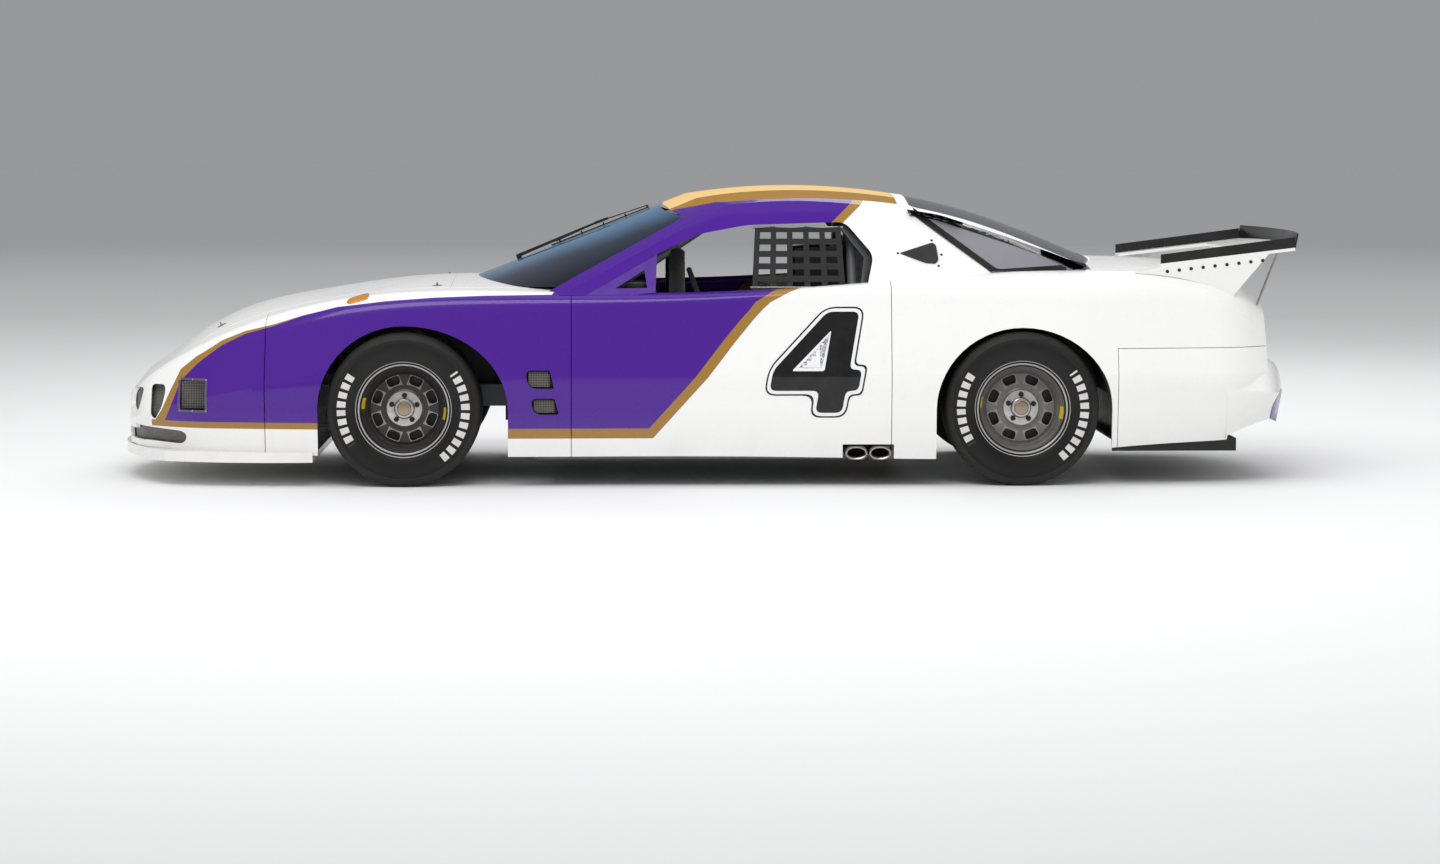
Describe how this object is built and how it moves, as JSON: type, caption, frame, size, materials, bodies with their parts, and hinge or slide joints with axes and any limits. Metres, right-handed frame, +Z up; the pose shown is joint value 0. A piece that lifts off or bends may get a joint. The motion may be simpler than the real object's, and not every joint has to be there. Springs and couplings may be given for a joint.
{
  "type": "stock car",
  "caption": "Full-size tube-frame stock car with hinged hood and deck lid, linked steering, spinning wheels and a wrap-round rear spoiler.",
  "frame": {"origin": "ground level at the middle of the overall length and width", "axes": "+X towards the tail, +Y towards the car's right side, +Z up; the nose points to -X"},
  "size_m": [5.4896, 1.9002, 1.347],
  "materials": {
    "nose_cover_paint": "glossy paint",
    "fenders_paint": "glossy paint",
    "cowl_panel_paint": "glossy paint",
    "hood_paint": "glossy paint",
    "doors_paint": "glossy paint",
    "quarter_panels_paint": "glossy paint",
    "tail_cover_paint": "glossy paint",
    "roof_paint": "glossy paint",
    "rear_pillars_paint": "glossy paint",
    "deck_lid_paint": "glossy paint",
    "wing_paint": "glossy paint",
    "windshield_clear": "clear, polished",
    "rear_window_clear": "clear, polished",
    "quarter_windows_clear": "clear, polished",
    "splitter_plastic": "satin black",
    "spoiler_plastic": "satin black",
    "undertray_plastic": "satin black",
    "dashboard_plastic": "satin black",
    "door_gussets_plastic": "satin black",
    "wiper_plastic": "satin black",
    "chassis_frame_coat": "painted",
    "floor_pan_coat": "painted",
    "wheel_tubs_coat": "painted",
    "roll_cage_coat": "painted",
    "rear_axle_coat": "painted",
    "front_arms_coat": "painted",
    "knuckle_left_coat": "painted",
    "knuckle_right_coat": "painted",
    "steering_column_coat": "painted",
    "seat_coat": "painted",
    "exhaust_stock": "plain",
    "engine_stock": "plain",
    "fuel_cell_stock": "plain",
    "wing_rods_stock": "plain",
    "steering_rack_stock": "plain",
    "steering_wheel_stock": "plain",
    "window_net_stock": "plain",
    "tyre_front_left": "black rubber",
    "rim_front_left": "satin dark grey",
    "tyre_front_right": "black rubber",
    "rim_front_right": "satin dark grey",
    "tyre_rear_left": "black rubber",
    "rim_rear_left": "satin dark grey",
    "tyre_rear_right": "black rubber",
    "rim_rear_right": "satin dark grey"
  },
  "bodies": {
    "chassis": {"nose_cover": "nose_cover_paint", "fenders": "fenders_paint", "cowl_panel": "cowl_panel_paint", "doors": "doors_paint", "quarter_panels": "quarter_panels_paint", "tail_cover": "tail_cover_paint", "roof": "roof_paint", "rear_pillars": "rear_pillars_paint", "windshield": "windshield_clear", "rear_window": "rear_window_clear", "quarter_windows": "quarter_windows_clear", "door_gussets": "door_gussets_plastic", "window_net": "window_net_stock", "splitter": "splitter_plastic", "chassis_frame": "chassis_frame_coat", "floor_pan": "floor_pan_coat", "exhaust": "exhaust_stock", "roll_cage": "roll_cage_coat", "dashboard": "dashboard_plastic", "seat": "seat_coat", "steering_column": "steering_column_coat", "engine": "engine_stock", "fuel_cell": "fuel_cell_stock", "rear_axle": "rear_axle_coat", "front_arms": "front_arms_coat", "wing": "wing_paint", "spoiler": "spoiler_plastic", "wing_rods": "wing_rods_stock", "wiper": "wiper_plastic", "wheel_tubs": "wheel_tubs_coat", "undertray": "undertray_plastic"},
    "hood": {"hood": "hood_paint"},
    "deck_lid": {"deck_lid": "deck_lid_paint"},
    "knuckle_left": {"knuckle_left": "knuckle_left_coat"},
    "knuckle_right": {"knuckle_right": "knuckle_right_coat"},
    "steering_rack": {"steering_rack": "steering_rack_stock"},
    "steering_wheel": {"steering_wheel": "steering_wheel_stock"},
    "wheel_front_left": {"tyre_front_left": "tyre_front_left", "rim_front_left": "rim_front_left"},
    "wheel_front_right": {"tyre_front_right": "tyre_front_right", "rim_front_right": "rim_front_right"},
    "wheel_rear_left": {"tyre_rear_left": "tyre_rear_left", "rim_rear_left": "rim_rear_left"},
    "wheel_rear_right": {"tyre_rear_right": "tyre_rear_right", "rim_rear_right": "rim_rear_right"}
  },
  "joints": [
    {"name": "hood_hinge", "type": "hinge", "parent": "chassis", "child": "hood", "pos_m": [-1.19, 0, 0.932], "axis": [0, 1, 0], "range_deg": [0, 55]},
    {"name": "deck_lid_hinge", "type": "hinge", "parent": "chassis", "child": "deck_lid", "pos_m": [1.85, 0, 1.01], "axis": [0, -1, 0], "range_deg": [0, 55]},
    {"name": "steer_left", "type": "hinge", "parent": "chassis", "child": "knuckle_left", "pos_m": [-1.395, -0.69, 0.35], "axis": [0, 0, 1], "range_deg": [-22, 22]},
    {"name": "steer_right", "type": "hinge", "parent": "chassis", "child": "knuckle_right", "pos_m": [-1.395, 0.69, 0.35], "axis": [0, 0, 1], "range_deg": [-22, 22]},
    {"name": "rack_slide", "type": "slide", "parent": "chassis", "child": "steering_rack", "axis": [0, 1, 0], "range_m": [-0.0423, 0.0423]},
    {"name": "steering_wheel_turn", "type": "hinge", "parent": "chassis", "child": "steering_wheel", "pos_m": [-0.04, -0.39, 0.8], "axis": [0.9397, 0, 0.342], "range_deg": [-264, 264]},
    {"name": "spin_front_left", "type": "hinge", "parent": "knuckle_left", "child": "wheel_front_left", "pos_m": [-1.395, -0.771, 0.35], "axis": [0, 1, 0], "continuous": true},
    {"name": "spin_front_right", "type": "hinge", "parent": "knuckle_right", "child": "wheel_front_right", "pos_m": [-1.395, 0.771, 0.35], "axis": [0, 1, 0], "continuous": true},
    {"name": "spin_rear_left", "type": "hinge", "parent": "chassis", "child": "wheel_rear_left", "pos_m": [1.399, -0.771, 0.35], "axis": [0, 1, 0], "continuous": true},
    {"name": "spin_rear_right", "type": "hinge", "parent": "chassis", "child": "wheel_rear_right", "pos_m": [1.399, 0.771, 0.35], "axis": [0, 1, 0], "continuous": true}
  ],
  "couplings": [
    {"joint": "steer_right", "follows": "steer_left", "ratio": 1},
    {"joint": "rack_slide", "follows": "steer_left", "m_per_rad": -0.11},
    {"joint": "steering_wheel_turn", "follows": "steer_left", "ratio": 12}
  ]
}
